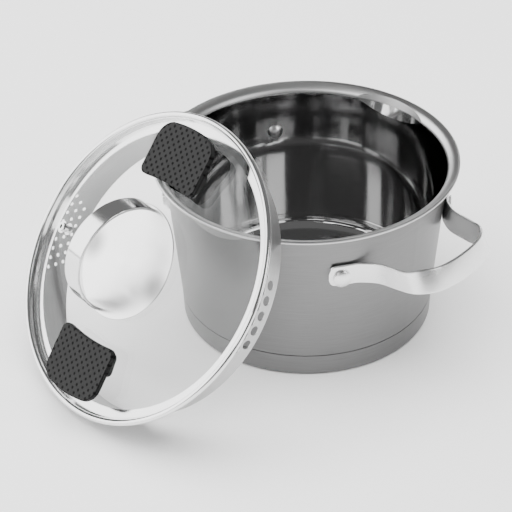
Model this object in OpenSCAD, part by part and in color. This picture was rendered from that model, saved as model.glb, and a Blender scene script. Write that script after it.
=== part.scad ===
// Saucepan with two riveted strap handles, two pouring lips and a domed glass strainer lid.
// The lid leans on the rim and stands on the table beside the pan.
// Origin: centre of the pan's underside. +Z up, X through the side handles, Y through the pouring lips.

/* [Pan] */
// Outer radius of the wall where the rim's flare begins
wall_top_r = 100; // [85:1:125]
// Outer radius of the wall where it meets the base cap
wall_low_r = 90.6; // [78:0.2:110]
// Height from the table to the top of the rim
pan_h = 124.2; // [105:0.2:160]
// Thickness of the pan's sheet steel
sheet = 0.9; // [0.6:0.1:1.4]
// Radius of the flare under the rim
flare_r = 6.9; // [5:0.1:9]
// Radius of the closed hem along the rim's edge
hem_r = 1.2; // [0.9:0.1:1.8]
// Inner corner radius between the floor and the wall
floor_corner_r = 9; // [5:0.5:14]

/* [Base] */
// Height of the seam where the base cap ends on the wall
seam_h = 17.4; // [13:0.2:24]
// Width of the open seam above the base cap
seam_gap = 0.6; // [0.2:0.1:1.2]
// Thickness of the base cap's steel
cap_t = 0.8; // [0.5:0.1:1.2]
// Thickness of the aluminium core under the floor
core_t = 6; // [4:0.5:8]
// Corner radius of the base cap at the table
cap_corner_r = 3; // [2:0.5:4]

/* [Pouring lips] */
// Radius that each pouring lip reaches at the rim
lip_reach_r = 104.6; // [102:0.2:106]
// Radius of the lip's own curve
lip_curve_r = 72; // [60:1:84]
// Outward lean of the lip, in degrees
lip_lean = 20; // [14:1:26]

/* [Side handles] */
// Width of the strap, measured up and down
strap_w = 17.2; // [13:0.2:22]
// Thickness of the strap
strap_t = 2.6; // [1.8:0.1:3.2]
// Height of the strap's middle line at the rivets
strap_h = 89.6; // [75:0.2:96]
// How far each rivet sits below the strap's middle line
rivet_drop = 1.4; // [0:0.1:2]
// Distance of each rivet from the handle's middle plane
rivet_y = 58; // [50:0.5:64]
// How far the strap reaches from the pan's axis
strap_reach = 139.2; // [130:0.2:155]
// Half width of the strap where its grip begins
strap_waist_y = 39.2; // [34:0.2:42]
// Upward tilt of the grip's face, in degrees
strap_tilt = 19.5; // [0:0.5:26]
// Rise of the grip above the rivets
strap_rise = 3.5; // [0:0.5:8]

/* [Rivets] */
// Radius of a rivet's outer head
head_r = 6.2; // [5:0.1:7]
// Height of a rivet's outer head
head_h = 3.6; // [2.6:0.1:4.5]
// Radius of a rivet's inner head
inner_head_r = 5.6; // [4.5:0.1:6.5]
// Height of a rivet's inner head
inner_head_h = 2.4; // [1.5:0.1:3]
// Radius of a rivet's shank
shank_r = 2.5; // [2:0.1:3]

/* [Lid pose] */
// Angle between the leaning lid and the table, in degrees
lid_lean = 50.4; // [50.4:0.1:54]
// Compass direction that the lid's face looks to, in degrees
lid_azimuth = 258.3; // [255:0.1:261]
// Turn of the lid about its own axis, in degrees
lid_spin = 10.2; // [0:0.1:30]
// Gap between the lid's skirt and the pan's rim where they come closest
lid_clear = 0.7; // [0.7:0.1:15]
// Compass direction from the pan's axis to the lid's centre, in degrees
lid_bearing = 258.3; // [255:0.1:261]

/* [Lid ring] */
// Radius of the middle of the ring's rolled bead
bead_ring_r = 107.8; // [102:0.1:114]
// Radius of the bead's own section
bead_r = 2.2; // [1.5:0.1:2.8]
// Outer radius of the skirt at its top
skirt_top_r = 98.6; // [98:0.1:100]
// Outer radius of the skirt at its lower edge
skirt_low_r = 97.3; // [97.3:0.1:98.6]
// Depth of the skirt below the middle of the bead
skirt_depth = 27.2; // [22:0.1:32]
// Thickness of the ring's sheet steel
ring_t = 0.7; // [0.5:0.1:1]

/* [Strainer holes] */
// Radius of a fine hole
fine_r = 1.4; // [1:0.1:1.8]
// Angle between neighbouring fine holes, in degrees
fine_pitch = 4; // [3:0.1:5]
// Depth of the first row of fine holes below the bead
fine_depth = 6.8; // [6.8:0.1:8]
// Distance between rows of fine holes
fine_row_gap = 6.05; // [4:0.05:7]
// Radius of a coarse hole
coarse_r = 3.4; // [2.5:0.1:3.6]
// Angle between neighbouring coarse holes, in degrees
coarse_pitch = 6.2; // [5:0.1:8]
// Depth of the upper row of coarse holes below the bead
coarse_depth = 13; // [9:0.1:14]
// Distance between the two rows of coarse holes
coarse_row_gap = 7.3; // [6:0.1:9]

/* [Glass] */
// Radius of the glass
glass_r = 104.3; // [100:0.1:105]
// Thickness of the glass
glass_t = 4; // [3:0.1:4]
// Rise of the dome's middle above its edge
dome_rise = 14.8; // [8:0.1:18]
// Gap between the glass and the ring
glass_gap = 0.1; // [0.05:0.05:0.3]

/* [Vent] */
// Distance of the steam vent from the lid's axis
vent_place_r = 82; // [70:0.5:88]
// Direction of the steam vent on the lid, in degrees
vent_angle = -92.3; // [-110:0.1:-70]
// Radius of the vent's bore
vent_bore_r = 1.6; // [1:0.1:2]
// Radius of the vent's flange
vent_flange_r = 4.4; // [3.5:0.1:5.5]
// Height of the vent's collar above the glass
vent_collar_h = 2.4; // [1:0.1:3]

/* [Lid handle] */
// Radius of the round plate under the handle
plate_r = 41; // [36:0.2:46]
// Thickness of the round plate
plate_t = 1.2; // [0.8:0.1:2]
// Outer radius of the handle's arch
arch_r = 39.5; // [30:0.1:41]
// Height of the straight legs below the arch
arch_leg = 0.5; // [0.2:0.1:12]
// Width of the handle's strap
arch_w = 15.6; // [10:0.2:18]
// Thickness of the handle's strap
arch_t = 2.2; // [1.5:0.1:3]
// Turn of the handle from square to the strainer holes, in degrees
arch_turn = -10.2; // [-20:0.1:20]
// Distance of the handle's middle plane from the lid's axis
arch_shift = 7.5; // [0:0.1:9]
// Radius of the threaded boss under the plate
boss_r = 5; // [4:0.1:6]
// Radius of the lid screw's shank
screw_r = 2.5; // [2:0.1:3]

/* [Lid grips] */
// Distance from the lid's axis to a grip's inner edge
grip_in_r = 57; // [54:0.5:64]
// Distance from the lid's axis to a grip's outer edge
grip_out_r = 99; // [92:0.5:103]
// Half the width of a grip
grip_half_w = 28; // [20:0.5:32]
// Thickness of a grip's silicone pad
grip_t = 3.2; // [2:0.1:5]
// Height of a grip's underside above the bead's middle, at the grip's middle
grip_h = 13.3; // [11:0.1:16]
// Downward slope of a grip towards the ring, in degrees
grip_slope = 1.5; // [0:0.5:5]
// Turn of both grips from square to the strainer holes, in degrees
grip_turn = -5.7; // [-20:0.1:20]

/* [Hidden] */
$fn = 96;
snug = 0.05;            // gap between pieces that are pressed or clamped together
over = 1;               // how far a cutter runs past what it cuts

steel = [0.78, 0.78, 0.78];
bright_steel = [0.9, 0.9, 0.9];
aluminium = [0.66, 0.66, 0.67];
silicone = [0.24, 0.24, 0.24];
nylon = [0.1, 0.1, 0.1];
clear_glass = [0.85, 0.9, 0.9, 0.35];

// Wall and rim of the pan
flare_h = pan_h - flare_r - sheet;
flare_x = wall_top_r + flare_r;
wall_slope = (wall_top_r - wall_low_r) / (flare_h - seam_h);
wall_lean = atan(wall_slope);
function wall_r(z) = wall_low_r + wall_slope * (z - seam_h);

// Base
step_in = cap_t + snug;
floor_z = cap_t + core_t;
lip_reach = pan_h / 2;  // how far down a lip's leaning cylinder runs

// Side handles
rivet_h = strap_h - rivet_drop;
rivet_r = wall_r(strap_h);
head_side = 2;          // height of the straight side of a rivet's head
rivet_angle = asin(rivet_y / rivet_r);
pad_half = 9;           // length of strap on each side of a rivet that follows the wall
pad_corner_r = 5;       // corner radius of the strap's ends
strap_edge_r = 0.9;     // edge radius of the strap's section

// Lid, in its own frame: origin at the middle of the bead's circle, +Z out of the lid
glass_edge_h = -0.5;
ledge_h = glass_edge_h - glass_t - glass_gap;
dome_sphere_r = (glass_r * glass_r + dome_rise * dome_rise) / (2 * dome_rise);
dome_centre_h = glass_edge_h + dome_rise - dome_sphere_r;
function dome_top(r) = dome_centre_h + sqrt(dome_sphere_r * dome_sphere_r - r * r);
function skirt_r(depth) = skirt_top_r + (skirt_low_r - skirt_top_r) * depth / skirt_depth;
bead_drop = bead_r + bead_ring_r * sin(lid_lean);
skirt_drop = skirt_low_r * sin(lid_lean) + skirt_depth * cos(lid_lean);
lid_height = max(bead_drop, skirt_drop);
lid_end_h = lid_height - skirt_depth * cos(lid_lean);      // middle of the skirt's free edge
rim_climb = (pan_h - lid_end_h) / sin(lid_lean);           // from there up the lid to the rim's level
rim_half = sqrt(skirt_low_r * skirt_low_r - rim_climb * rim_climb);
rim_reach = flare_x + hem_r + lid_clear;
lid_distance = rim_climb * cos(lid_lean) + skirt_depth * sin(lid_lean)
    + sqrt(rim_reach * rim_reach - rim_half * rim_half);

// Lid handle
seal_t = 1;             // thickness of the seal between the plate and the glass
seal_r = 13;            // radius of both seals
seal_recess = 0.2;      // how far a flat seal stands above the dome's crown
plate_h = dome_top(0) + seal_recess + seal_t;
boss_hole_r = boss_r + 0.3;
boss_drop = seal_recess + seal_t + glass_t - 0.6;

// Lid grips
grip_mid_r = (grip_in_r + grip_out_r) / 2;
grip_base_in_r = grip_in_r + 2;
grip_base_out_r = grip_in_r + 22;
grip_base_half_w = grip_half_w - 3.5;
grip_screw_place_r = (grip_base_in_r + grip_base_out_r) / 2;
grip_screw_r = 2;
dome_slope = asin(grip_screw_place_r / dome_sphere_r);

module place_lid() {
    translate([lid_distance * cos(lid_bearing), lid_distance * sin(lid_bearing), lid_height])
        rotate([0, lid_lean, lid_azimuth])
            rotate([0, 0, lid_spin])
                children();
}

// ---------------------------------------------------------------- pan

// Half section of the pan's volume, drawn inward by "inset" from the outer surface.
module pan_section(inset) {
    low_r = wall_r(seam_h) - step_in - inset;
    step_z = seam_h + inset;
    foot_z = floor_z + inset;
    corner = floor_corner_r + sheet - inset;
    centre_z = foot_z + corner;
    centre_r = wall_r(centre_z) - step_in - inset - corner / cos(wall_lean);
    polygon([[0, step_z - over], [wall_r(step_z - over) - inset - step_in, step_z - over],
        [wall_r(step_z) - inset - step_in, step_z], [wall_r(step_z) - inset, step_z],
        [wall_r(flare_h) - inset, flare_h], [0, flare_h]]);
    polygon([[0, foot_z], [centre_r, foot_z], [centre_r, centre_z],
        [centre_r + corner * cos(wall_lean), centre_z - corner * sin(wall_lean)],
        [low_r, step_z], [0, step_z]]);
    translate([centre_r, centre_z])
        circle(r = corner);
}

// Region inside the flare, out to radius "far" and up to height "top".
module flare_section(curve, far, top) {
    difference() {
        translate([0, flare_h - 0.001])
            square([far, top - flare_h]);
        translate([flare_x, flare_h])
            circle(r = curve);
    }
}

// Leaning cylinder that shapes a pouring lip; it reaches "bottom" below the rim.
module lip_cylinder(r, bottom) {
    translate([lip_reach_r - (lip_curve_r + sheet) / cos(lip_lean), 0, pan_h])
        rotate([0, lip_lean, 0])
            translate([0, 0, -bottom])
                cylinder(r = r, h = bottom + 30);
}

module lip_pair() {
    for (side = [90, -90])
        rotate([0, 0, side])
            children();
}

module rivet_places() {
    for (turn = [0, 180])
        for (side = [-1, 1])
            rivet_frame(turn + side * rivet_angle)
                children();
}

// Local frame of a rivet: origin on the wall's outer surface, +Z straight out of the wall.
module rivet_frame(angle) {
    rotate([0, 0, angle])
        translate([wall_r(rivet_h), 0, rivet_h])
            rotate([0, 90 + wall_lean, 0])
                children();
}

// Half section of the pan's sheet between two depths below its outer surface.
module sheet_section(from, to) {
    difference() {
        union() {
            pan_section(from);
            flare_section(flare_r + from, flare_x, pan_h);
            if (from == 0)
                translate([flare_x, pan_h - hem_r])
                    circle(r = hem_r, $fn = 32);
        }
        union() {
            pan_section(to);
            flare_section(flare_r + to, flare_x, pan_h + over);
        }
    }
}

// Part of each pouring lip that stands out from the wall.
module lip_wedge() {
    wedge_low = pan_h / 2;
    intersection() {
        lip_cylinder(lip_curve_r + sheet, lip_reach);
        rotate_extrude($fn = 180)
            difference() {
                translate([wedge_low, wedge_low])
                    square([flare_x - 0.4 - wedge_low, pan_h - 0.4 - wedge_low]);
                pan_section(sheet / 2);
                flare_section(flare_r + sheet / 2, flare_x, pan_h + over);
            }
    }
}

module pan_body() {
    color(steel)
        difference() {
            union() {
                rotate_extrude($fn = 180)
                    sheet_section(0, sheet);
                lip_pair()
                    lip_wedge();
            }
            lip_pair()
                lip_cylinder(lip_curve_r, lip_reach);
            rivet_places()
                cylinder(r = shank_r + snug, h = 10, center = true, $fn = 32);
        }
}

// Half section of the base cap's volume, drawn inward by "inset".
module cap_section(inset) {
    corner = cap_corner_r - inset;
    side_r = wall_r(seam_h) - inset;
    side_low_r = side_r - 0.6;
    polygon([[0, inset], [side_low_r - corner, inset], [side_low_r - corner, cap_corner_r],
        [side_low_r, cap_corner_r], [side_r, seam_h], [0, seam_h]]);
    translate([side_low_r - corner, cap_corner_r])
        circle(r = corner, $fn = 48);
}

module base_cap() {
    color(steel)
        rotate_extrude($fn = 180)
            difference() {
                cap_section(0);
                cap_section(cap_t);
                translate([0, seam_h - seam_gap])
                    square([wall_low_r + over, seam_gap + over]);
            }
}

module base_core() {
    color(aluminium)
        rotate_extrude($fn = 180)
            difference() {
                intersection() {
                    cap_section(cap_t);
                    square([wall_low_r, floor_z + floor_corner_r / 2]);
                }
                pan_section(0);
            }
}

// ---------------------------------------------------------------- side handles

// Middle line of the strap, seen from above, as points with X out from the pan.
pad_r = rivet_r + snug + strap_t / 2;
pad_angle = pad_half / pad_r * 180 / PI;
pad_end_angle = rivet_angle + pad_angle;
pad_turn_angle = rivet_angle - pad_angle * 0.8;
strap_guide = [
    [pad_r * cos(pad_turn_angle), pad_r * sin(pad_turn_angle)],
    [pad_r - 11.5, strap_waist_y + 9.2],
    [pad_r - 0.6, strap_waist_y + 2.3],
    [pad_r + 14.3, strap_waist_y],
    [strap_reach - 12.1, strap_waist_y - 3.2],
    [strap_reach - 4.1, strap_waist_y * 0.68],
    [strap_reach - 0.9, strap_waist_y * 0.37],
    [strap_reach, 0]];
pad_steps = 14;
pad_points = [for (i = [0:pad_steps - 1])
    let (a = pad_end_angle + (pad_turn_angle - pad_end_angle) * i / pad_steps)
    [pad_r * cos(a), pad_r * sin(a)]];

// Point on a smooth curve through "guide", mirrored at its last point.
function mirrored(guide) = concat(guide, [for (i = [len(guide) - 2:-1:0]) [guide[i][0], -guide[i][1]]]);
function spline(a, b, c, d, t) =
    0.5 * (2 * b + (c - a) * t + (2 * a - 5 * b + 4 * c - d) * t * t
        + (3 * b - a - 3 * c + d) * t * t * t);
guide_start = pad_points[pad_steps - 1];
strap_full = concat([guide_start], mirrored(strap_guide), [[guide_start[0], -guide_start[1]]]);
spline_steps = 6;
strap_curve = [for (i = [1:len(strap_full) - 3]) for (k = [0:spline_steps - 1])
    spline(strap_full[i - 1], strap_full[i], strap_full[i + 1], strap_full[i + 2], k / spline_steps)];
strap_line = concat(pad_points, strap_curve, [strap_full[len(strap_full) - 2]],
    [for (i = [pad_steps - 1:-1:0]) [pad_points[i][0], -pad_points[i][1]]]);
strap_count = len(strap_line);

// Share of the grip's tilt and rise at a point of the line: 0 on the pan, 1 on the grip.
function ease(t) = let (c = min(1, max(0, t))) c * c * (3 - 2 * c);
function grip_share(p) = ease((p[0] - (pad_r + 17)) / 16);
function unit(v) = v / norm(v);
function outward(i) =
    let (a = strap_line[max(0, i - 1)], b = strap_line[min(strap_count - 1, i + 1)], d = unit(b - a))
    [-d[1], d[0]];
function end_distance(i) = min(i, strap_count - 1 - i) * pad_half * 1.8 / pad_steps;
function end_width(i) =
    let (d = min(pad_corner_r, end_distance(i)))
    strap_w / 2 - pad_corner_r + sqrt(pad_corner_r * pad_corner_r - pow(pad_corner_r - d, 2));

// One section of the strap: a rectangle with eased edges, eight points.
function strap_ring(i) =
    let (p = strap_line[i], n2 = outward(i), s = grip_share(p),
        tilt = strap_tilt * s - wall_lean * (1 - s), half_w = end_width(i), half_t = strap_t / 2,
        n = [n2[0] * cos(tilt), n2[1] * cos(tilt), sin(tilt)],
        w = [-n2[0] * sin(tilt), -n2[1] * sin(tilt), cos(tilt)],
        centre = [p[0], p[1], strap_h + strap_rise * s], e = strap_edge_r)
    [for (q = [[half_w - e, half_t], [half_w, half_t - e], [half_w, -half_t + e], [half_w - e, -half_t],
        [-half_w + e, -half_t], [-half_w, -half_t + e], [-half_w, half_t - e], [-half_w + e, half_t]])
        centre + w * q[0] + n * q[1]];

module strap_solid() {
    sides = 8;
    points = [for (i = [0:strap_count - 1]) for (q = strap_ring(i)) q];
    last = (strap_count - 1) * sides;
    faces = concat(
        [for (i = [0:strap_count - 2]) for (k = [0:sides - 1]) let (m = (k + 1) % sides)
            [i * sides + k, (i + 1) * sides + k, (i + 1) * sides + m, i * sides + m]],
        [[for (k = [0:sides - 1]) k]],
        [[for (k = [sides - 1:-1:0]) last + k]]);
    polyhedron(points, faces, convexity = 6);
}

module side_handle(turn) {
    color(bright_steel)
        difference() {
            rotate([0, 0, turn])
                strap_solid();
            rivet_places()
                cylinder(r = shank_r + snug, h = 12, center = true, $fn = 32);
        }
}

module right_handle() {
    side_handle(0);
}

module left_handle() {
    side_handle(180);
}

// ---------------------------------------------------------------- rivets

// Cap of a sphere: a low dome of radius r and height h, flat side down.
module dome(r, h) {
    ball = (r * r + h * h) / (2 * h);
    intersection() {
        translate([0, 0, h - ball])
            sphere(r = ball, $fn = 64);
        cylinder(r = r + over, h = h + over, $fn = 64);
    }
}

module rivet(angle) {
    outer_z = snug + strap_t + 0.1;
    inner_z = -sheet - 0.25;
    color(bright_steel)
        rivet_frame(angle) {
            translate([0, 0, outer_z + head_side - 0.01])
                dome(head_r, head_h - head_side);
            translate([0, 0, outer_z])
                cylinder(r = head_r, h = head_side, $fn = 64);
            translate([0, 0, inner_z - 0.1])
                cylinder(r = shank_r, h = outer_z - inner_z + 0.2, $fn = 32);
            translate([0, 0, inner_z])
                rotate([180, 0, 0])
                    dome(inner_head_r, inner_head_h);
        }
}

module right_rivet_front() {
    rivet(-rivet_angle);
}

module right_rivet_back() {
    rivet(rivet_angle);
}

module left_rivet_front() {
    rivet(180 + rivet_angle);
}

module left_rivet_back() {
    rivet(180 - rivet_angle);
}

// ---------------------------------------------------------------- lid

module skirt_hole(angle, depth, r) {
    rotate([0, 0, angle])
        translate([skirt_r(depth) - 3, 0, -depth])
            rotate([0, 90, 0])
                cylinder(r = r, h = 6, $fn = 24);
}

// A row of holes centred on "angle".
module hole_row(angle, depth, r, pitch, count) {
    for (i = [0:count - 1])
        skirt_hole(angle + (i - (count - 1) / 2) * pitch, depth, r);
}

// Half section of the ring: bead, seat for the glass, and skirt.
module ring_section() {
    seat_r = glass_r + glass_gap;
    bead_in_r = bead_ring_r - bead_r;
    polygon([[bead_in_r - 0.2, 0.3], [seat_r, ledge_h],
        [skirt_top_r - ring_t, ledge_h], [skirt_low_r - ring_t, -skirt_depth],
        [skirt_low_r, -skirt_depth], [skirt_top_r, ledge_h - ring_t],
        [seat_r + ring_t * 0.9, ledge_h - ring_t], [bead_in_r + 0.7, 0.3]]);
    translate([bead_ring_r, 0])
        circle(r = bead_r, $fn = 48);
}

module lid_ring() {
    color(bright_steel)
        place_lid()
            difference() {
                rotate_extrude($fn = 180)
                    ring_section();
                for (row = [0:2])
                    hole_row(-90, fine_depth + row * fine_row_gap, fine_r, fine_pitch, 9 - row);
                hole_row(90, coarse_depth, coarse_r, coarse_pitch, 6);
                hole_row(90, coarse_depth + coarse_row_gap, coarse_r, coarse_pitch, 5);
            }
}

// Local frame on top of the glass at radius r, with Z straight out of the dome.
module on_dome(r, angle) {
    rotate([0, 0, angle])
        translate([r, 0, dome_top(r)])
            rotate([0, asin(r / dome_sphere_r), 0])
                children();
}

module lid_glass() {
    color(clear_glass)
        place_lid()
            difference() {
                rotate_extrude($fn = 180)
                    intersection() {
                        difference() {
                            translate([0, dome_centre_h])
                                circle(r = dome_sphere_r, $fn = 720);
                            translate([0, dome_centre_h - glass_t])
                                circle(r = dome_sphere_r, $fn = 720);
                        }
                        translate([0, glass_edge_h - 2 * glass_t])
                            square([glass_r, 3 * glass_t + dome_rise]);
                    }
                translate([0, 0, dome_top(0) - glass_t - over])
                    cylinder(r = boss_hole_r, h = glass_t + 2 * over, $fn = 48);
                on_dome(vent_place_r, vent_angle)
                    cylinder(r = vent_bore_r + 1.1, h = 4 * glass_t, center = true, $fn = 32);
                for (angle = [grip_turn, 180 + grip_turn])
                    on_dome(grip_screw_place_r, angle)
                        cylinder(r = grip_screw_r + 0.3, h = 4 * glass_t, center = true, $fn = 32);
            }
}

module vent_eyelet() {
    color(bright_steel)
        place_lid()
            on_dome(vent_place_r, vent_angle)
                difference() {
                    union() {
                        translate([0, 0, snug])
                            cylinder(r = vent_flange_r, h = 1, $fn = 48);
                        cylinder(r = vent_flange_r - 1, h = vent_collar_h, $fn = 48);
                        translate([0, 0, -glass_t - 1.4])
                            cylinder(r = vent_bore_r + 0.9, h = glass_t + 2, $fn = 32);
                    }
                    translate([0, 0, -glass_t - 3])
                        cylinder(r = vent_bore_r, h = glass_t + 10, $fn = 32);
                }
}

module vent_washer() {
    color(bright_steel)
        place_lid()
            on_dome(vent_place_r, vent_angle)
                translate([0, 0, -glass_t - 0.9])
                    difference() {
                        cylinder(r = vent_flange_r, h = 0.8, $fn = 48);
                        translate([0, 0, -over])
                            cylinder(r = vent_bore_r + 0.95, h = 3, $fn = 32);
                    }
}

// ---------------------------------------------------------------- lid handle

module lid_handle_plate() {
    color(bright_steel)
        place_lid()
            translate([0, 0, plate_h])
                rotate_extrude($fn = 144)
                    union() {
                        square([plate_r - plate_t / 2, plate_t]);
                        translate([plate_r - plate_t / 2, plate_t / 2])
                            circle(r = plate_t / 2, $fn = 24);
                    }
}

// Section of the handle's strap: X across its thickness, Y across its width.
module arch_section() {
    edge = 0.7;
    translate([-arch_t / 2 + edge, -arch_w / 2])
        square([arch_t - 2 * edge, arch_w]);
    translate([-arch_t / 2, -arch_w / 2 + edge])
        square([arch_t, arch_w - 2 * edge]);
    for (x = [-1, 1])
        for (y = [-1, 1])
            translate([x * (arch_t / 2 - edge), y * (arch_w / 2 - edge)])
                circle(r = edge, $fn = 24);
}

module lid_handle_strap() {
    mid_r = arch_r - arch_t / 2;
    color(bright_steel)
        place_lid()
            rotate([0, 0, arch_turn])
                translate([0, -arch_shift, plate_h + plate_t]) {
                    translate([0, 0, arch_leg])
                        rotate([90, 0, 0])
                            rotate_extrude(angle = 180, $fn = 128)
                                translate([mid_r, 0])
                                    arch_section();
                    for (side = [-1, 1])
                        translate([side * mid_r, 0, 0])
                            linear_extrude(height = arch_leg)
                                arch_section();
                }
}

module lid_handle_boss() {
    color(bright_steel)
        place_lid()
            translate([0, 0, plate_h - boss_drop])
                difference() {
                    cylinder(r = boss_r, h = boss_drop, $fn = 48);
                    translate([0, 0, -over])
                        cylinder(r = screw_r + snug, h = boss_drop, $fn = 32);
                }
}

module seal_disc(outer, inner, height) {
    difference() {
        cylinder(r = outer, h = height, $fn = 64);
        translate([0, 0, -over])
            cylinder(r = inner, h = height + 2 * over, $fn = 48);
    }
}

module lid_handle_seal() {
    color(silicone)
        place_lid()
            translate([0, 0, dome_top(0) + seal_recess])
                seal_disc(seal_r, boss_r + snug, seal_t);
}

under_face_h = dome_top(seal_r) - glass_t - 0.15;

module lid_under_seal() {
    color(silicone)
        place_lid()
            translate([0, 0, under_face_h - seal_t])
                seal_disc(seal_r, screw_r + 1, seal_t);
}

module lid_under_washer() {
    color(bright_steel)
        place_lid()
            translate([0, 0, under_face_h - seal_t - 1])
                seal_disc(seal_r - 1, screw_r + 0.3, 1);
}

module lid_screw() {
    head_z = under_face_h - seal_t - 1;
    color(bright_steel)
        place_lid()
            translate([0, 0, head_z]) {
                rotate([180, 0, 0])
                    difference() {
                        dome(4.8, 2.6);
                        translate([-0.6, -3, 1.6])
                            cube([1.2, 6, 2]);
                        translate([-3, -0.6, 1.6])
                            cube([6, 1.2, 2]);
                    }
                translate([0, 0, -0.1])
                    cylinder(r = screw_r, h = plate_h - head_z - 1.8, $fn = 32);
            }
}

// ---------------------------------------------------------------- lid grips

// Plan outline between two arcs about the lid's axis, with round corners.
module grip_outline(in_r, out_r, half_w, corner_out, corner_in) {
    side = half_w - corner_out;
    far = sqrt(pow(out_r - corner_out, 2) - side * side);
    near = in_r + corner_in;
    side_in = half_w - corner_in;
    difference() {
        union() {
            polygon([[near, -side_in - corner_in], [far, -side - corner_out], [far, side + corner_out],
                [near, side_in + corner_in]]);
            polygon([[in_r, -side_in], [far, -side_in], [far, side_in], [in_r, side_in]]);
            intersection() {
                circle(r = out_r, $fn = 180);
                polygon([[0, 0], [2 * far, -2 * side], [2 * far, 2 * side]]);
            }
            for (s = [-1, 1]) {
                translate([far, s * side])
                    circle(r = corner_out, $fn = 48);
                translate([near, s * side_in])
                    circle(r = corner_in, $fn = 32);
            }
        }
        translate([in_r - 148.6, 0])
            circle(r = 150, $fn = 240);
    }
}

// Frame of a grip: origin above the lid's axis, sloping down towards the ring.
module grip_frame(angle) {
    rotate([0, 0, angle + grip_turn])
        translate([grip_mid_r, 0, grip_h])
            rotate([0, grip_slope, 0])
                translate([-grip_mid_r, 0, 0])
                    children();
}

module grip(angle) {
    color(silicone)
        place_lid()
            grip_frame(angle) {
                linear_extrude(height = grip_t - 0.8)
                    grip_outline(grip_in_r, grip_out_r, grip_half_w, 13, 5);
                linear_extrude(height = grip_t)
                    grip_outline(grip_in_r + 0.8, grip_out_r - 0.8, grip_half_w - 0.8, 12.2, 4.2);
            }
}

// A grip's base stands on the dome; its foot is cut to short cones that follow the dome.
foot_radii = [grip_in_r - over, grip_screw_place_r, grip_base_out_r, grip_base_out_r + 8];
foot_gap = 0.15;

module grip_base(angle) {
    color(nylon)
        place_lid()
            difference() {
                intersection() {
                    grip_frame(angle)
                        translate([0, 0, -12])
                            linear_extrude(height = 12)
                                grip_outline(grip_base_in_r, grip_base_out_r, grip_base_half_w, 5, 4);
                    rotate_extrude($fn = 180)
                        polygon(concat([for (r = foot_radii) [r, dome_top(r) + foot_gap]],
                            [[grip_base_out_r + 8, 2 * grip_h], [grip_in_r - over, 2 * grip_h]]));
                }
                rotate([0, 0, grip_turn])
                    on_dome(grip_screw_place_r, angle)
                        cylinder(r = grip_screw_r + snug, h = 9, center = true, $fn = 32);
            }
}

module grip_washer(angle) {
    color(nylon)
        place_lid()
            rotate([0, 0, grip_turn])
                on_dome(grip_screw_place_r, angle)
                    translate([0, 0, -glass_t - 1.3])
                        seal_disc(6, grip_screw_r + 0.2, 1.2);
}

module grip_screw(angle) {
    color(bright_steel)
        place_lid()
            rotate([0, 0, grip_turn])
                on_dome(grip_screw_place_r, angle)
                    translate([0, 0, -glass_t - 1.3]) {
                        rotate([180, 0, 0])
                            difference() {
                                dome(3.8, 2);
                                translate([-0.5, -2.5, 1.1])
                                    cube([1, 5, 2]);
                            }
                        translate([0, 0, -0.1])
                            cylinder(r = grip_screw_r, h = glass_t + 4, $fn = 32);
                    }
}

module near_grip() {
    grip(0);
}

module far_grip() {
    grip(180);
}

module near_grip_base() {
    grip_base(0);
}

module far_grip_base() {
    grip_base(180);
}

module near_grip_washer() {
    grip_washer(0);
}

module far_grip_washer() {
    grip_washer(180);
}

module near_grip_screw() {
    grip_screw(0);
}

module far_grip_screw() {
    grip_screw(180);
}

pan_body();
base_core();
base_cap();
right_handle();
left_handle();
right_rivet_front();
right_rivet_back();
left_rivet_front();
left_rivet_back();
lid_ring();
lid_glass();
vent_eyelet();
vent_washer();
lid_handle_plate();
lid_handle_strap();
lid_handle_boss();
lid_handle_seal();
lid_under_seal();
lid_under_washer();
lid_screw();
near_grip();
far_grip();
near_grip_base();
far_grip_base();
near_grip_washer();
far_grip_washer();
near_grip_screw();
far_grip_screw();
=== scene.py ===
import math

import bmesh
import bpy
from mathutils import Matrix, Vector


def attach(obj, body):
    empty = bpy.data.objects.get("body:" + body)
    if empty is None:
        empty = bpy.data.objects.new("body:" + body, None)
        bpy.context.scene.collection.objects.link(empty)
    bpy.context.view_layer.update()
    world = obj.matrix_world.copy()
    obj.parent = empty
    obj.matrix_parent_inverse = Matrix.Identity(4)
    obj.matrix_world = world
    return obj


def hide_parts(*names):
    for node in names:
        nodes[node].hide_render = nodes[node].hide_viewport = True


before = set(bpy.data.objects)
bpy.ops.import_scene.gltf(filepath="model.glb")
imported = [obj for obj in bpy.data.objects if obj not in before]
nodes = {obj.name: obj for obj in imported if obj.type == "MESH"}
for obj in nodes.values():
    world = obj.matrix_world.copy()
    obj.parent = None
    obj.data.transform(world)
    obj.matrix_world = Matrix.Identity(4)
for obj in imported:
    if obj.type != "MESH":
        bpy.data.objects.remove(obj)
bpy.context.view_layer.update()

# ------------------------------------------------------------------ sizes, in metres
# Heights in the pan where its finish changes; from the rim heights up the steel is also painted
# lighter, a painted highlight
BASE_CAP_TOP_H = 0.0072
FLOOR_TOP_H = 0.0085
RIM_START_H, RIM_FULL_H = 0.1172, 0.1190
# Where the lid lies: its turns, and the middle of its bead's circle
LID_LEAN, LID_AZIMUTH, LID_SPIN = math.radians(50.4), math.radians(258.3), math.radians(10.2)
LID_CENTRE = Vector((-0.028796, -0.139050, 0.092309))
# Heights in the lid's own frame between which the satin skirt turns into the polished bead
SKIRT_END_H, BEAD_START_H = -0.0058, -0.0050
# The arch of the lid's handle: cosine and sine of its turn, and where its feet stand, round which
# the plate is painted with shade
ARCH_COS, ARCH_SIN = 0.984, 0.177
ARCH_FOOT_OUT, ARCH_FOOT_ASIDE = 0.036, 0.004
# Distance between the grips' dimples
DIMPLE_PITCH = 0.0060
# Sharper edges than this stay sharp on the handles, in degrees
HANDLE_EDGE_ANGLE = 50
LID_TURN = (Matrix.Rotation(LID_AZIMUTH, 3, "Z") @ Matrix.Rotation(LID_LEAN, 3, "Y")
            @ Matrix.Rotation(LID_SPIN, 3, "Z"))


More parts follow.
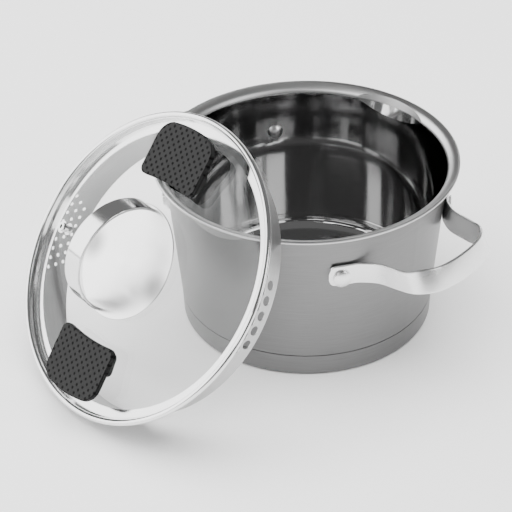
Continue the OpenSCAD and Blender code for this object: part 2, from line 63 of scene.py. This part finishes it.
# ------------------------------------------------------------------ small node helpers
class Mat:
    """One material and short ways to add nodes to it."""

    def __init__(self, name):
        self.mat = bpy.data.materials.new(name)
        self.mat.use_nodes = True
        self.tree = self.mat.node_tree
        self.tree.nodes.clear()
        self.out = self.add("ShaderNodeOutputMaterial")
        self.bsdf = self.add("ShaderNodeBsdfPrincipled")
        self.link(self.bsdf.outputs[0], self.out.inputs["Surface"])
        self.coord = self.add("ShaderNodeTexCoord")

    def add(self, kind, **props):
        node = self.tree.nodes.new(kind)
        for key, value in props.items():
            setattr(node, key, value)
        return node

    def link(self, a, b):
        self.tree.links.new(a, b)

    def put(self, socket, value):
        if hasattr(value, "is_output"):
            self.link(value, socket)
        else:
            socket.default_value = value

    def set(self, **values):
        for key, value in values.items():
            self.put(self.bsdf.inputs[key.replace("_", " ")], value)
        return self

    @property
    def place(self):
        return self.coord.outputs["Object"]

    def lid_place(self):
        """Position in the lid's own frame, in metres."""
        node = self.add("ShaderNodeMapping", vector_type="POINT")
        back = LID_TURN.transposed()
        node.inputs["Rotation"].default_value = back.to_euler("XYZ")
        node.inputs["Location"].default_value = -(back @ LID_CENTRE)
        self.link(self.place, node.inputs["Vector"])
        return node.outputs[0]

    def stretch(self, vector, scale):
        node = self.add("ShaderNodeMapping", vector_type="POINT")
        node.inputs["Scale"].default_value = scale
        self.link(vector, node.inputs["Vector"])
        return node.outputs[0]

    def math(self, op, a, b=0.0, c=0.0):
        node = self.add("ShaderNodeMath", operation=op)
        for socket, value in zip(node.inputs, (a, b, c)):
            self.put(socket, value)
        return node.outputs[0]

    def parts(self, vector):
        node = self.add("ShaderNodeSeparateXYZ")
        self.link(vector, node.inputs[0])
        return node.outputs

    def join(self, x, y, z):
        node = self.add("ShaderNodeCombineXYZ")
        for socket, value in zip(node.inputs, (x, y, z)):
            self.put(socket, value)
        return node.outputs[0]

    def noise(self, vector, scale, detail=2.0, rough=0.5):
        node = self.add("ShaderNodeTexNoise")
        self.link(vector, node.inputs["Vector"])
        node.inputs["Scale"].default_value = scale
        node.inputs["Detail"].default_value = detail
        node.inputs["Roughness"].default_value = rough
        return node.outputs[0]

    def range(self, value, low, high, to_low, to_high, smooth=False):
        node = self.add("ShaderNodeMapRange")
        if smooth:
            node.interpolation_type = "SMOOTHSTEP"
        for socket, number in zip(node.inputs[:5], (value, low, high, to_low, to_high)):
            self.put(socket, number)
        return node.outputs[0]

    def mix(self, factor, a, b):
        node = self.add("ShaderNodeMix", data_type="FLOAT")
        self.put(node.inputs[0], factor)
        self.put(node.inputs[2], a)
        self.put(node.inputs[3], b)
        return node.outputs[0]

    def grey(self, value):
        node = self.add("ShaderNodeCombineColor")
        for socket in node.inputs[:3]:
            self.put(socket, value)
        return node.outputs[0]

    def distance(self, a, b):
        squares = self.math("MULTIPLY", a, a), self.math("MULTIPLY", b, b)
        return self.math("SQRT", self.math("ADD", *squares))

    def bump(self, height, distance, strength=1.0):
        node = self.add("ShaderNodeBump")
        node.inputs["Strength"].default_value = strength
        node.inputs["Distance"].default_value = distance
        self.link(height, node.inputs["Height"])
        self.link(node.outputs[0], self.bsdf.inputs["Normal"])


def tangent_round_z(m):
    """Brushing that runs round the pan's axis."""
    node = m.add("ShaderNodeTangent", direction_type="RADIAL", axis="Z")
    m.link(node.outputs[0], m.bsdf.inputs["Tangent"])


# ------------------------------------------------------------------ materials
def pan_steel(name, inside):
    """Satin brushed outside; the pan's body is polished inside."""
    m = Mat(name)
    x, y, z = m.parts(m.place)
    brushing = m.noise(m.stretch(m.place, (1, 1, 60)), 45, 3, 0.6)
    cloud = m.noise(m.place, 22, 2)
    if inside:
        nx, ny, nz = m.parts(m.coord.outputs["Normal"])
        outward = m.math("ADD", m.math("MULTIPLY", x, nx), m.math("MULTIPLY", y, ny))
        looks_in, looks_up = m.math("LESS_THAN", outward, 0.0), m.math("GREATER_THAN", nz, 0.3)
        faces_in = m.math("MAXIMUM", looks_in, looks_up)
        radius = m.distance(x, y)
        faces_in = m.math("MULTIPLY", faces_in, m.math("GREATER_THAN", z, BASE_CAP_TOP_H))
        rim_finish_and_highlight = m.range(z, RIM_START_H, RIM_FULL_H, 0.0, 1.0, smooth=True)
        faces_in = m.math("MULTIPLY", faces_in, m.math("SUBTRACT", 1.0, rim_finish_and_highlight))
        satin_rough = m.mix(cloud, 0.31, 0.37)
        satin_rough = m.mix(m.math("MULTIPLY", brushing, 0.5), satin_rough, 0.42)
        polish_rough = m.range(cloud, 0.3, 0.7, 0.035, 0.085)
        floor = m.math("MULTIPLY", m.math("LESS_THAN", z, FLOOR_TOP_H), faces_in)
        rings = m.math("SINE", m.math("MULTIPLY", radius, 9000.0))
        polish_rough = m.mix(floor, polish_rough, m.range(rings, -1, 1, 0.12, 0.2))
        m.set(Roughness=m.mix(faces_in, satin_rough, polish_rough))
        # Painted highlight: the rim band is a lighter grey (0.62) than the satin outside below it;
        # inside, the rim also turns satin
        outside = m.mix(rim_finish_and_highlight, m.range(brushing, 0.2, 0.8, 0.17, 0.22), 0.62)
        m.set(Base_Color=m.grey(m.mix(faces_in, outside, 0.50)))
        m.set(Anisotropic=m.mix(faces_in, 0.75, 0.0))
        faces_out = m.math("SUBTRACT", 1.0, faces_in)
        m.bump(m.math("MULTIPLY", brushing, faces_out), 0.00003, 0.5)
    else:
        m.set(Roughness=m.range(cloud, 0.2, 0.8, 0.27, 0.36))
        m.set(Base_Color=m.grey(m.range(brushing, 0.2, 0.8, 0.16, 0.21)))
        m.set(Anisotropic=0.75)
        m.bump(brushing, 0.00003, 0.5)
    m.set(Metallic=1.0)
    tangent_round_z(m)
    return m.mat


def handle_steel(name):
    """Satin steel brushed along the strap."""
    m = Mat(name)
    along = m.noise(m.stretch(m.place, (1, 1, 14)), 160, 3, 0.6)
    cloud = m.noise(m.place, 30, 2)
    m.set(Metallic=1.0, Base_Color=m.grey(m.range(along, 0.2, 0.8, 0.82, 0.92)))
    m.set(Roughness=m.range(cloud, 0.2, 0.8, 0.22, 0.31))
    m.bump(along, 0.00003, 0.45)
    return m.mat


def polished_steel(name, base, low, high, scale=40):
    """Bright polish with faint wiping marks."""
    m = Mat(name)
    marks = m.noise(m.lid_place(), scale, 3, 0.55)
    hair = m.noise(m.stretch(m.lid_place(), (1, 9, 1)), 300, 2, 0.5)
    m.set(Metallic=1.0, Base_Color=m.grey(m.range(marks, 0.2, 0.8, base - 0.02, base + 0.02)))
    m.set(Roughness=m.mix(hair, m.range(marks, 0.3, 0.7, low, high), high))
    m.bump(hair, 0.00001, 0.3)
    return m.mat


def ring_steel(name):
    """Polished bead, satin skirt."""
    m = Mat(name)
    place = m.lid_place()
    height = m.parts(place)[2]
    skirt = m.range(height, SKIRT_END_H, BEAD_START_H, 1.0, 0.0)
    brushing = m.noise(m.stretch(place, (1, 1, 30)), 70, 3, 0.6)
    marks = m.noise(place, 40, 3, 0.55)
    m.set(Metallic=1.0)
    m.set(Base_Color=m.grey(m.mix(skirt, 0.78, m.range(brushing, 0.2, 0.8, 0.42, 0.52))))
    polished = m.range(marks, 0.3, 0.7, 0.06, 0.12)
    satin = m.range(marks, 0.3, 0.7, 0.30, 0.38)
    m.set(Roughness=m.mix(skirt, polished, satin))
    m.bump(m.math("MULTIPLY", brushing, skirt), 0.00002, 0.4)
    return m.mat


def plate_steel(name):
    """The round plate: turned brushing and painted shade darkening the plate round each foot of the
    arch.
    """
    m = Mat(name)
    place = m.lid_place()
    x, y, z = m.parts(place)
    radius = m.distance(x, y)
    turned = m.noise(m.join(m.math("MULTIPLY", radius, 6.0), 0.0, 0.0), 400, 3, 0.6)
    cloud = m.noise(place, 35, 2)
    along = m.math("ADD", m.math("MULTIPLY", y, ARCH_COS), m.math("MULTIPLY", x, ARCH_SIN))
    aside = m.math("SUBTRACT", m.math("MULTIPLY", x, ARCH_COS), m.math("MULTIPLY", y, ARCH_SIN))
    from_foot = m.distance(m.math("SUBTRACT", m.math("ABSOLUTE", along), ARCH_FOOT_OUT),
                           m.math("SUBTRACT", aside, ARCH_FOOT_ASIDE))
    # Painted shade: the plate's grey darkens to 0.35 round each foot of the arch, where the arch
    # stands on it
    painted_foot_shade = m.range(from_foot, 0.002, 0.016, 1.0, 0.0, smooth=True)
    m.set(Metallic=1.0)
    m.set(Base_Color=m.grey(m.mix(painted_foot_shade, m.range(turned, 0.2, 0.8, 0.84, 0.92), 0.35)))
    m.set(Roughness=m.range(cloud, 0.25, 0.75, 0.30, 0.36))
    m.set(Anisotropic=0.5)
    m.bump(turned, 0.00001, 0.4)
    return m.mat


def glass(name):
    """Clear glass: a mirror film, stronger edge on, with faint wiping marks.

    Facing is the same from both sides. Fresnel isn't: it turns the inner face into a full mirror.
    """
    m = Mat(name)
    smear = m.noise(m.lid_place(), 28, 3, 0.6)
    edge_on = m.add("ShaderNodeLayerWeight")
    edge_on.inputs["Blend"].default_value = 0.5
    glance = m.math("POWER", edge_on.outputs["Facing"], 4.0)
    marks = m.range(smear, 0.45, 0.75, 0.016, 0.022)
    m.set(Base_Color=(0.92, 0.94, 0.935, 1.0), Metallic=1.0)
    m.set(Alpha=m.math("ADD", m.math("MULTIPLY", glance, 0.4), marks))
    m.set(Roughness=m.range(smear, 0.45, 0.75, 0.015, 0.05))
    m.bump(smear, 0.00002, 0.15)
    return m.mat


def silicone(name):
    """Soft black rubber with staggered dimples, painted darker inside as painted shade."""
    m = Mat(name)
    place = m.lid_place()
    x, y, z = m.parts(place)

    def in_cell(value, shift):
        """Place within a dimple's square cell, -0.5 to 0.5; the 100 keeps the count positive."""
        cells = m.math("ADD", m.math("DIVIDE", value, DIMPLE_PITCH), 100 + shift)
        return m.math("SUBTRACT", m.math("FRACT", cells), 0.5)

    def to_dot(shift):
        return m.distance(in_cell(x, shift), in_cell(y, shift))

    near = m.math("MINIMUM", to_dot(0.0), to_dot(0.5))
    dimple_and_painted_shade = m.range(near, 0.12, 0.20, 1.0, 0.0, smooth=True)
    grain = m.noise(place, 900, 2, 0.6)
    dust = m.noise(place, 60, 3, 0.6)
    # Painted shade: the dimples are coloured near black; their roughness and bump are real
    m.set(Base_Color=m.grey(m.mix(dimple_and_painted_shade, m.range(dust, 0.3, 0.7, 0.008, 0.012), 0.001)))
    m.set(Roughness=m.mix(dimple_and_painted_shade, m.range(dust, 0.3, 0.7, 0.5, 0.62), 0.8))
    m.set(Specular_IOR_Level=0.18)
    height = m.math("SUBTRACT", m.math("MULTIPLY", grain, 0.06), dimple_and_painted_shade)
    m.bump(height, 0.0007, 0.9)
    return m.mat


def plastic(name, grey_level, rough):
    """Matt moulded plastic or rubber with a fine grain."""
    m = Mat(name)
    grain = m.noise(m.lid_place(), 700, 3, 0.6)
    dust = m.noise(m.lid_place(), 50, 3, 0.6)
    m.set(Base_Color=m.grey(m.range(dust, 0.3, 0.7, grey_level, grey_level * 1.4)))
    m.set(Roughness=m.range(dust, 0.3, 0.7, rough, rough + 0.12))
    m.bump(grain, 0.0001, 0.5)
    return m.mat


def cast_aluminium(name):
    """Dull grey cast metal with an even grain."""
    m = Mat(name)
    grain = m.noise(m.place, 260, 3, 0.6)
    m.set(Metallic=1.0, Base_Color=m.grey(m.range(grain, 0.2, 0.8, 0.5, 0.6)))
    m.set(Roughness=m.range(grain, 0.2, 0.8, 0.4, 0.55))
    m.bump(grain, 0.00005, 0.4)
    return m.mat


body = pan_steel("body_steel", True)
cap = pan_steel("cap_steel", False)
strap = handle_steel("strap_steel")
ring_look = ring_steel("ring_steel")
lid_steel = polished_steel("lid_steel", 0.78, 0.05, 0.12)
arch_steel = polished_steel("arch_steel", 0.78, 0.07, 0.14)
small_steel = polished_steel("small_steel", 0.72, 0.16, 0.26, 120)
plate = plate_steel("plate_steel")
clear = glass("clear_glass")
grip = silicone("grip_silicone")
seal = plastic("seal_rubber", 0.03, 0.6)
nylon = plastic("grip_plastic", 0.008, 0.45)
core = cast_aluminium("core_aluminium")

LOOKS = {
    "pan_body": body, "base_cap": cap, "base_core": core,
    "right_handle": strap, "left_handle": strap,
    "right_rivet_front": strap, "right_rivet_back": strap,
    "left_rivet_front": strap, "left_rivet_back": strap,
    "lid_ring": ring_look, "lid_glass": clear, "vent_eyelet": lid_steel, "vent_washer": small_steel,
    "lid_handle_plate": plate, "lid_handle_strap": arch_steel, "lid_handle_boss": small_steel,
    "lid_handle_seal": seal, "lid_under_seal": seal, "lid_under_washer": small_steel,
    "lid_screw": small_steel, "near_grip": grip, "far_grip": grip,
    "near_grip_base": nylon, "far_grip_base": nylon,
    "near_grip_washer": nylon, "far_grip_washer": nylon,
    "near_grip_screw": small_steel, "far_grip_screw": small_steel,
}
for name, node in nodes.items():
    node.data.materials.clear()
    node.data.materials.append(LOOKS[name])


def smooth_copy(name, body_name):
    """The same piece with its facets shaded as one smooth surface, in place of the node."""
    piece = bpy.data.objects.new(name + "_smooth", nodes[name].data.copy())
    bpy.context.scene.collection.objects.link(piece)
    work = bmesh.new()
    work.from_mesh(piece.data)
    bmesh.ops.remove_doubles(work, verts=work.verts, dist=1e-6)
    for face in work.faces:
        face.smooth = True
    for edge in work.edges:
        edge.smooth = edge.calc_face_angle(0.0) < math.radians(HANDLE_EDGE_ANGLE)
    work.to_mesh(piece.data)
    work.free()
    weight = piece.modifiers.new("even", "WEIGHTED_NORMAL")
    weight.keep_sharp = True
    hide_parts(name)
    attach(piece, body_name)


for side in ("right_handle", "left_handle"):
    smooth_copy(side, "pan")

# ------------------------------------------------------------------ floor and light
floor_mat = Mat("floor_paper")
floor_grain = floor_mat.noise(floor_mat.place, 500, 2, 0.5)
floor_mat.set(Base_Color=floor_mat.grey(floor_mat.range(floor_grain, 0.3, 0.7, 0.91, 0.93)))
floor_mat.set(Roughness=0.75, Specular_IOR_Level=0.2)
bpy.ops.mesh.primitive_plane_add(size=12, location=(0, 0, 0))
floor = bpy.context.object
floor.name = "floor"
floor.data.materials.append(floor_mat.mat)


def softbox(name, place, aim, size, power, seen=True):
    """A rectangular lamp; seen says whether it shows in reflections."""
    data = bpy.data.lights.new(name, "AREA")
    data.shape = "RECTANGLE"
    data.size, data.size_y = size
    data.energy = power
    lamp = bpy.data.objects.new(name, data)
    lamp.location = place
    lamp.rotation_euler = (Vector(aim) - Vector(place)).to_track_quat("-Z", "Y").to_euler()
    lamp.visible_glossy = seen
    bpy.context.scene.collection.objects.link(lamp)


softbox("overhead", (0, 0, 3.2), (0, 0, 0), (4.2, 4.2), 330, seen=False)
softbox("left_box", (-1.85, -1.2, 1.15), (0, -0.05, 0.5), (4.0, 2.2), 110)
softbox("right_box", (2.0, 0.2, 1.1), (0, 0, 0.1), (0.9, 1.4), 14)
softbox("front_box", (0.3, -2.3, 1.5), (0, 0, 0.1), (1.2, 0.6), 9)
softbox("back_strip", (-0.9, 2.1, 1.0), (0, 0, 0.1), (1.2, 0.35), 6)

world = bpy.data.worlds.new("studio")
bpy.context.scene.world = world
world.use_nodes = True
world.node_tree.nodes["Background"].inputs["Color"].default_value = (0.5, 0.5, 0.5, 1.0)
world.node_tree.nodes["Background"].inputs["Strength"].default_value = 0.42

# ------------------------------------------------------------------ camera
eye = Vector((0.8181, -0.9882, 0.9201))
ahead = Vector((-0.5438, 0.6199, -0.5657)).normalized()
right = ahead.cross(Vector((0, 0, 1))).normalized()
up = right.cross(ahead)
roll = math.radians(-1.15)
right_turned = right * math.cos(roll) + up * math.sin(roll)
up_turned = -right * math.sin(roll) + up * math.cos(roll)
cam_data = bpy.data.cameras.new("camera")
cam_data.sensor_width = 36
cam_data.lens = 150.85
cam = bpy.data.objects.new("camera", cam_data)
turn = Matrix((right_turned, up_turned, -ahead)).transposed()
cam.matrix_world = Matrix.Translation(eye) @ turn.to_4x4()
bpy.context.scene.collection.objects.link(cam)
bpy.context.scene.camera = cam
